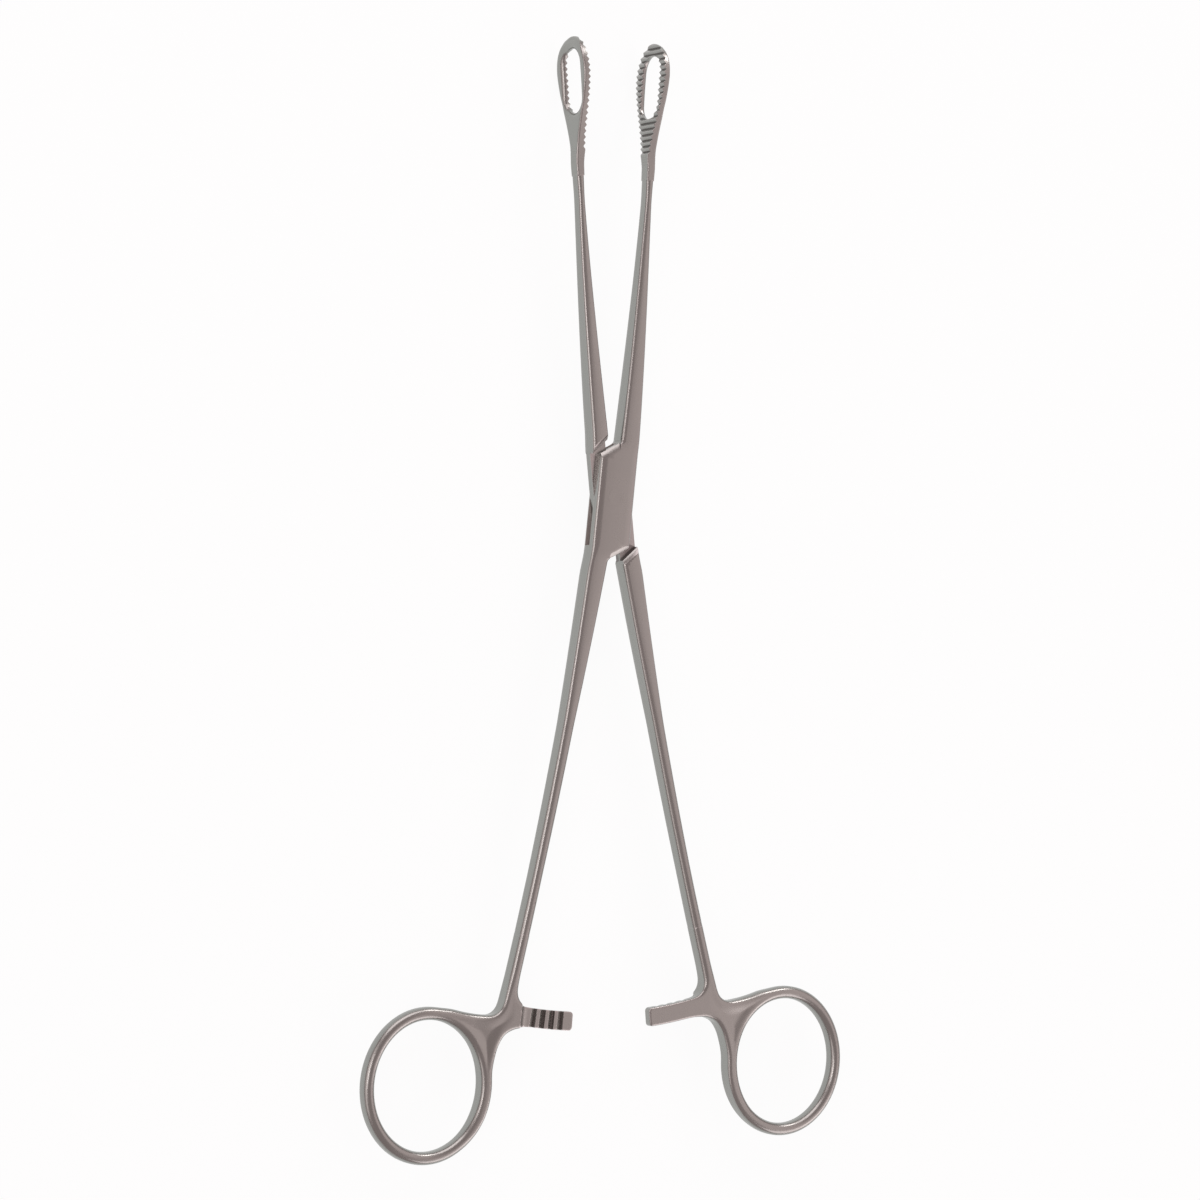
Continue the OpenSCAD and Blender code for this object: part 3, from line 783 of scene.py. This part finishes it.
def pressNotches(obj, tree, pitch, depth, first, count, shape, material):
    modifier = obj.modifiers.new("notches", "NODES")
    modifier.node_group = tree
    names = {item.name: item.identifier for item in tree.interface.items_tree
             if item.item_type == "SOCKET" and item.in_out == "INPUT"}
    for label, value in zip(("Pitch", "Depth", "First", "Count", "Rise", "Floor", "Flank", "Finish"),
                            (pitch, depth, first, count, *shape, material)):
        modifier[names[label]] = value
    applyModifiers(obj)


# Steel

steel = {
    "base": (0.315, 0.318, 0.302),
    # edge: brighter on the edges, partly rubbed wear and partly a painted highlight
    "edge": (0.40, 0.385, 0.375),
    # hollow: darker in the hollows, a painted shade
    "hollow": (0.20, 0.185, 0.18),
    # slot: a dull brown, not metal, painted on the slot's walls as painted shade
    "slot": (0.33, 0.31, 0.29),
    "roughness": 0.27,
    "cloudSize": 140.0,     # the roughness drifts in broad clouds
    "cloudSpread": 0.04,
    "grainSize": 5200.0,
    "grainBump": 0.10,
    "grainDepth": 0.00004,
    "edgeBend": (0.9, 4.0),         # bend in 1/mm where the edge's colour starts, and is full
    # and where the painted shade in the hollows starts, and is full
    "hollowShadeBend": (-0.35, -2.5),
}


def makeGroup(name, inputs, outputs):
    group = bpy.data.node_groups.new(name, "ShaderNodeTree")
    for label, kind, value in inputs:
        socket = group.interface.new_socket(label, in_out="INPUT", socket_type=kind)
        socket.default_value = value
    for label, kind in outputs:
        group.interface.new_socket(label, in_out="OUTPUT", socket_type=kind)
    return group, group.nodes.new("NodeGroupInput"), group.nodes.new("NodeGroupOutput")


def blastedGrain():
    group, given, out = makeGroup("blastedGrain", [
        ("Size", "NodeSocketFloat", 5000.0), ("Bump", "NodeSocketFloat", 0.1),
        ("Rough", "NodeSocketFloat", 0.36)],
        [("Roughness", "NodeSocketFloat"), ("Normal", "NodeSocketVector")])
    where = addNode(group, "ShaderNodeTexCoord").outputs["Object"]
    fine = addNode(group, "ShaderNodeTexNoise",
                   {"Detail": 2.0, "Vector": where, "Scale": given.outputs["Size"]})
    broad = addNode(group, "ShaderNodeTexNoise",
                    {"Detail": 3.0, "Vector": where, "Scale": steel["cloudSize"]})
    bump = addNode(group, "ShaderNodeBump", {"Distance": steel["grainDepth"], "Height": fine.outputs["Fac"],
                                             "Strength": given.outputs["Bump"]})
    spread = addNode(group, "ShaderNodeMapRange", {
        "To Min": -steel["cloudSpread"], "To Max": steel["cloudSpread"], "Value": broad.outputs["Fac"]})
    add = addNode(group, "ShaderNodeMath", {0: given.outputs["Rough"], 1: spread.outputs["Result"]})
    group.links.new(add.outputs[0], out.inputs["Roughness"])
    group.links.new(bump.outputs["Normal"], out.inputs["Normal"])
    return group


def edgeSheenAndHollowShade():
    # the edges are painted brighter, partly as rubbed wear and partly as a painted highlight, and the hollows
    # are painted darker as painted shade, by the attribute "bend"
    group, given, out = makeGroup("edgeSheenAndHollowShade", [
        ("Base", "NodeSocketColor", (0.4, 0.4, 0.4, 1)), ("Edge", "NodeSocketColor", (0.6, 0.6, 0.6, 1)),
        ("Hollow", "NodeSocketColor", (0.2, 0.2, 0.2, 1))], [("Color", "NodeSocketColor")])
    bend = addNode(group, "ShaderNodeAttribute", attribute_name="bend").outputs["Fac"]
    colour = given.outputs["Base"]
    for label, (low, high) in (("Edge", steel["edgeBend"]), ("Hollow", steel["hollowShadeBend"])):
        mask = addNode(group, "ShaderNodeMapRange", {"From Min": low, "From Max": high, "Value": bend})
        colour = addNode(group, "ShaderNodeMix", {
            "Factor": mask.outputs["Result"], "A": colour, "B": given.outputs[label]},
            data_type="RGBA").outputs["Result"]
    group.links.new(colour, out.inputs["Color"])
    return group


def steelMaterial(name, groups):
    material = bpy.data.materials.new(name)
    material.use_nodes = True
    tree = material.node_tree
    shader = tree.nodes["Principled BSDF"]
    grain = addNode(tree, "ShaderNodeGroup", {"Size": steel["grainSize"], "Bump": steel["grainBump"],
                                              "Rough": steel["roughness"]}, node_tree=groups[0])
    tone = addNode(tree, "ShaderNodeGroup", {label.capitalize(): (*steel[label], 1)
                                             for label in ("base", "edge", "hollow")}, node_tree=groups[1])
    # the walls of the slot get painted shade: a dull brown instead of metal
    inSlot = addNode(tree, "ShaderNodeAttribute", attribute_name="inSlot").outputs["Fac"]
    bare = addNode(tree, "ShaderNodeMath", {0: 1.0, 1: inSlot}, operation="SUBTRACT")
    slotShade = addNode(tree, "ShaderNodeMix", {"B": (*steel["slot"], 1), "Factor": inSlot,
                                           "A": tone.outputs["Color"]}, data_type="RGBA")
    for label, output in (("Roughness", grain.outputs["Roughness"]), ("Normal", grain.outputs["Normal"]),
                          ("Metallic", bare.outputs[0]), ("Base Color", slotShade.outputs["Result"])):
        tree.links.new(output, shader.inputs[label])
    return material


def slotAttribute(obj):
    # marks the faces inside the slot, which are painted a dull brown as painted shade
    reach = joint["tongueThickness"] / 2 + joint["tongueGap"] + 0.01
    marks = [float(abs(face.center.z - joint["tongueMiddle"]) < reach
                   and abs(face.center.y) < joint["slotShadeTo"]
                   and (abs(face.normal.z) > 0.9 or abs(face.center.x) < halfWidth - 0.3)
                   and math.hypot(face.center.x, face.center.y) > joint["pinRadius"] + 0.1)
             for face in obj.data.polygons]
    obj.data.attributes.new("inSlot", "FLOAT", "FACE").data.foreach_set("value", marks)


def bendAttribute(obj):
    # how sharply the surface bends at each point, in 1/mm: above zero on edges, below zero in hollows; it
    # places the painted highlight on edges and the painted shade in hollows
    mesh = obj.data
    points = meshPoints(obj) / metre
    normals = np.empty(len(points) * 3)
    mesh.vertices.foreach_get("normal", normals)
    normals = normals.reshape(-1, 3)
    ends = np.empty(len(mesh.edges) * 2, int)
    mesh.edges.foreach_get("vertices", ends)
    ends = ends.reshape(-1, 2)
    high, low = np.full(len(points), -9.0), np.full(len(points), 9.0)
    for a, b in ((0, 1), (1, 0)):
        start, gap = ends[:, a], points[ends[:, a]] - points[ends[:, b]]
        bend = 2 * (gap * normals[start]).sum(1) / np.maximum((gap ** 2).sum(1), 0.02)
        np.maximum.at(high, start, bend)
        np.minimum.at(low, start, bend)
    addAttribute(obj, "bend", np.clip(np.where(high > -low, high, low), -6, 6))


def sharpenEdges(obj, degrees):
    bm = bmesh.new()
    bm.from_mesh(obj.data)
    for face in bm.faces:
        face.smooth = True
    for edge in bm.edges:
        edge.smooth = len(edge.link_faces) == 2 and edge.calc_face_angle(0) < math.radians(degrees)
    bm.to_mesh(obj.data)
    bm.free()


# Putting a half together

def slotLoop():
    # the slot in plan, as it lies in the finished half: its ends stop the tongue when it is wide open
    far = joint["boxWidth"]
    stop = turned((-joint["tongueWidth"] / 2, -joint["tongueCorner"]), joint["openMax"])
    slope = (stop[1] - joint["stopGap"] + joint["slotSide"]) / (stop[0] + halfWidth)

    def end(x):
        return -joint["slotSide"] + (x + halfWidth) * slope

    lip, past = joint["slotLip"], -lowEnd - joint["slotPast"]
    half = [(-far, end(-far)), (lip, end(lip)), (lip, past), (far, past)]
    return half + [(-x, -y) for x, y in half]


def plateSlope(x, corner):
    return corner + (x + halfWidth) * (plateEnd - plateSide) / (halfWidth - joint["slotLip"])


def recessLoop(more):
    # between the shoulders, which slant like the plates' ends; more widens it for their slope
    far, lip = joint["boxWidth"], joint["slotLip"]
    wider = more * math.hypot(1, (plateEnd - plateSide) / (halfWidth - lip))
    top = plateSide + joint["shoulderGapJaw"] + wider
    low = lowSide + joint["shoulderGapHandle"] + wider
    return [(-far, plateSlope(-far, top)), (lip, plateSlope(lip, top)), (far, lowEnd + 2),
            (far, -plateSlope(-far, low)), (-lip, -plateSlope(lip, low)), (-far, -lowEnd - 2)]


def slopeSize(plate):
    # depth of the slope on a plate, and its width when it is drawn on past the face
    depth = min(joint["slopeDepth"], plate - joint["edgeLeft"])
    return depth, joint["slopeWidth"] / joint["slopeDepth"] * (depth + joint["cutOver"])


def slopedEnd(s, up, root):
    # the slope on a plate's slanted end, on the front for s = 1 and on the back for s = -1
    end, corner = (plateEnd, plateSide) if up else (lowEnd, lowSide)
    crotch = float(sides(end if up else -end, root)[0])
    flip = 1 if up else -1
    depth, wide = slopeSize(halfBox - joint["tongueThickness"] / 2 - joint["tongueGap"]
                            - s * joint["tongueMiddle"])
    tilt = (end - corner) / (halfWidth - crotch * flip)

    def loop(more):
        line = [(x, corner + (halfWidth - x) * tilt - more * math.hypot(1, tilt))
                for x in (halfWidth + 1, crotch * flip)]
        return [(x * flip, y * flip) for x, y in line + [(line[1][0], end + 4), (line[0][0], end + 4)]]

    return prism("slope", [(s * (halfBox - depth), loop(0)),
                           (s * (halfBox + joint["cutOver"]), loop(wide))])


def cornerLoop():
    # what is taken from the tongue half beside its tongue, up to the neck
    far, neck, step = joint["boxWidth"], joint["neck"], joint["neckStep"]
    side, slope = joint["tongueWidth"] / 2, joint["cornerSlope"]
    root = -joint["tongueCorner"] - slope * (neck - step + side)
    across, along = joint["neckFade"]
    return [(-far, -joint["tongueCorner"] + slope * (far - side)), (neck - step, root),
            (neck, root - step), (neck, -lowEnd - joint["neckPast"]),
            (neck - across, -lowEnd - along), (-far, -lowEnd - along)]


def throughCut(name, loop):
    return prism(name, [(-joint["cutThrough"], loop), (joint["cutThrough"], loop)])


def placeHalf(obj, mirrored, degrees):
    flip = Matrix.Diagonal((-1 if mirrored else 1, 1, 1, 1))
    turn = Matrix.Rotation(math.radians(degrees), 4, "Z")
    obj.data.transform(Matrix.Scale(metre, 4) @ Matrix.Translation((0, 0, halfBox)) @ turn @ flip)
    if mirrored:
        obj.data.flip_normals()


def joinAll(objects, name):
    with bpy.context.temp_override(active_object=objects[0], selected_editable_objects=objects):
        bpy.ops.object.join()
    objects[0].name = name
    objects[0].data.name = name
    return objects[0]


def turnOver(obj):
    obj.data.transform(Matrix.Diagonal((-1, 1, 1, 1)))
    obj.data.flip_normals()


def cutBox(shank, root):
    # the slot is drawn as it lies in the finished half, so the bar is turned over for the cut
    turnOver(shank)
    slotHalf, middle = joint["tongueThickness"] / 2 + joint["tongueGap"], joint["tongueMiddle"]
    cutWith(shank, [prism("slot", [(middle - slotHalf, slotLoop()), (middle + slotHalf, slotLoop())]),
                    throughCut("pinHole", circle(joint["pinRadius"]))])
    slotAttribute(shank)
    turnOver(shank)
    cutWith(shank, [slopedEnd(s, up, root) for s in (1, -1) for up in (True, False)])


def cutTongue(shank):
    cuts = []
    for s in (1, -1):
        floorAt = joint["tongueThickness"] / 2 + s * joint["tongueMiddle"]
        depth, wide = slopeSize(halfBox - floorAt)
        cuts.append(prism("recess", [(s * z, recessLoop(more)) for z, more in (
            (floorAt, 0), (halfBox - depth, 0), (halfBox + joint["cutOver"], wide))]))
        cuts.append(throughCut("corner", [(s * x, s * y) for x, y in cornerLoop()]))
    cutWith(shank, cuts + [throughCut("pinHole", circle(joint["pinRadius"] + joint["pinGap"]))])


def makeHalf(name, root, side, mirrored, tree, material):
    shank = barMesh(name + "Shank", root)
    if mirrored:
        cutBox(shank, root)
    else:
        cutTongue(shank)
    print(name, "shank", len(shank.data.polygons))
    grip = jawMesh(name + "Jaw", root)
    pressNotches(grip, tree, jaw["toothPitch"], jaw["toothDepth"], toothStart, float(toothCount),
                 jaw["toothShape"], material)
    print(name, "jaw", len(grip.data.polygons))
    handle = handleMesh(name + "Handle", side)
    pressNotches(handle, tree, ratchet["pitch"], ratchet["depth"], ratchet["lead"] - ratchet["tip"],
                 ratchet["teeth"] + 1.0, ratchet["toothShape"], material)
    print(name, "finger ring, web and arm", len(handle.data.polygons))
    parts = [shank, grip, handle]
    for part in parts:
        part.data.materials.clear()
        part.data.materials.append(material)
        for used in ("along", "grip", "into"):
            if used in part.data.attributes:
                part.data.attributes.remove(part.data.attributes[used])
        placeHalf(part, mirrored, -halfOpen if mirrored else halfOpen)
        bendAttribute(part)
    made = joinAll(parts, name)
    sharpenEdges(made, joint["sharpFrom"])
    return made


groups = (blastedGrain(), edgeSheenAndHollowShade())
notchTree = makeNotchTree()
halves = {}
for node, body, root, side, mirrored in (("box_half", "box_body", bar["boxRoot"], -1, True),
                                         ("tongue_half", "tongue_body", bar["tongueRoot"], 1, False)):
    finish = steelMaterial(node + "_steel", groups)
    pieceName = "boxHalf" if mirrored else "tongueHalf"
    halves[node] = makeHalf(pieceName, root, side, mirrored, notchTree, finish)
    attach(halves[node], body)
    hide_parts(node)
    print(pieceName, "done")

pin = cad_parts["pivot_pin"]
pin.data.materials.clear()
pin.data.materials.append(steelMaterial("pin_steel", groups))

# Floor, backdrop, lamps and camera

studio = {
    "floorColour": (0.86, 0.86, 0.86),
    "floorHalf": 3,
    "floorBelow": 0.0001,
    "floorShare": 0.93,      # how much of the floor's look is plain white, the rest takes shadows
    "sky": (0.50, 0.41, 0.41),
    "lamps": {               # place, aim, size, power and colour
        "keyLamp": ((-0.1, 1.02, 0.6), (0, 0, 0), (1.1, 0.7), 4.6, (1.0, 0.92, 0.94)),
        "cornerLamp": ((0.71, 0.93, 0.49), (0, 0.08, 0), (0.35, 0.3), 2.4, (1.0, 0.94, 0.94)),
        "rightSoftbox": ((0.95, 0, 0.85), (0, 0, 0), (1.8, 0.95), 2.9, (1.0, 0.85, 0.85)),
        "lowSoftbox": ((0.75, -0.8, 0.45), (0, -0.06, 0), (1.0, 0.6), 3.2, (1.0, 0.90, 0.92)),
        "leftSoftbox": ((-1.0, 0, 0.68), (0, 0, 0), (1.6, 0.5), 2.7, (1.0, 0.90, 0.90)),
        "frontLamp": ((-0.74, 0.05, 0.98), (0, 0, 0), (0.5, 0.25), 1.5, (1.0, 0.92, 0.93)),
    },
}
view = {
    "lens": 119.2,
    "sensor": 36.0,
    "nearest": 0.05,
    "farthest": 20,
    "place": (-0.47344, -0.02384, 0.72661),
    "right": (0.83866, 0.00471, 0.54464),
    "up": (-0.00490, 0.99999, -0.00110),
}


def cameraWhite(name, base):
    # a pale floor that the camera and the steel see as nearly plain white
    material = bpy.data.materials.new(name)
    material.use_nodes = True
    tree = material.node_tree
    shader = tree.nodes["Principled BSDF"]
    shader.inputs["Base Color"].default_value = (*base, 1)
    shader.inputs["Roughness"].default_value = 0.9
    rays = addNode(tree, "ShaderNodeLightPath").outputs
    seen = addNode(tree, "ShaderNodeMath", {0: rays["Is Camera Ray"], 1: rays["Is Glossy Ray"]},
                   operation="MAXIMUM")
    share = addNode(tree, "ShaderNodeMath", {0: seen.outputs[0], 1: studio["floorShare"]},
                    operation="MULTIPLY")
    glow = addNode(tree, "ShaderNodeEmission")
    blend = addNode(tree, "ShaderNodeMixShader", {0: share.outputs[0], 1: shader.outputs[0],
                                                  2: glow.outputs[0]})
    tree.links.new(blend.outputs[0], tree.nodes["Material Output"].inputs["Surface"])
    return material


def areaLamp(name, place, aim, size, power, colour):
    data = bpy.data.lights.new(name, "AREA")
    data.shape = "RECTANGLE"
    data.size, data.size_y = size
    data.energy = power
    data.color = colour
    lamp = bpy.data.objects.new(name, data)
    lamp.location = place
    lamp.rotation_mode = "QUATERNION"
    lamp.rotation_quaternion = (Vector(aim) - Vector(place)).to_track_quat("-Z", "Y")
    bpy.context.scene.collection.objects.link(lamp)


far = studio["floorHalf"]
floor = makeObject("floor", [(-far, -far, 0), (far, -far, 0), (far, far, 0), (-far, far, 0)], [(0, 1, 2, 3)])
floor.data.transform(Matrix.Translation((0, 0, cadLow.z - studio["floorBelow"])))
floor.data.materials.append(cameraWhite("floorWhite", studio["floorColour"]))

world = bpy.data.worlds.new("softRoom")
bpy.context.scene.world = world
world.use_nodes = True
sky = world.node_tree.nodes["Background"]
sky.inputs["Color"].default_value = (*studio["sky"], 1)
whiteSky = addNode(world.node_tree, "ShaderNodeBackground", {"Strength": 1.0})
skyRays = addNode(world.node_tree, "ShaderNodeLightPath")
skyMix = addNode(world.node_tree, "ShaderNodeMixShader", {
    0: skyRays.outputs["Is Camera Ray"], 1: sky.outputs[0], 2: whiteSky.outputs[0]})
world.node_tree.links.new(skyMix.outputs[0], world.node_tree.nodes["World Output"].inputs["Surface"])

for lampName, settings in studio["lamps"].items():
    areaLamp(lampName, *settings)

cameraData = bpy.data.cameras.new("camera")
cameraData.lens, cameraData.sensor_width = view["lens"], view["sensor"]
cameraData.clip_start, cameraData.clip_end = view["nearest"], view["farthest"]
camera = bpy.data.objects.new("camera", cameraData)
bpy.context.scene.collection.objects.link(camera)
cameraRight, cameraUp = Vector(view["right"]), Vector(view["up"])
cameraBack = cameraRight.cross(cameraUp).normalized()
cameraUp = cameraBack.cross(cameraRight).normalized()
camera.matrix_world = Matrix.Translation(view["place"]) @ Matrix(
    (cameraRight.normalized(), cameraUp, cameraBack)).transposed().to_4x4()
bpy.context.scene.camera = camera
bpy.context.scene.view_settings.view_transform = "Standard"
print("lamps, floor and camera done")
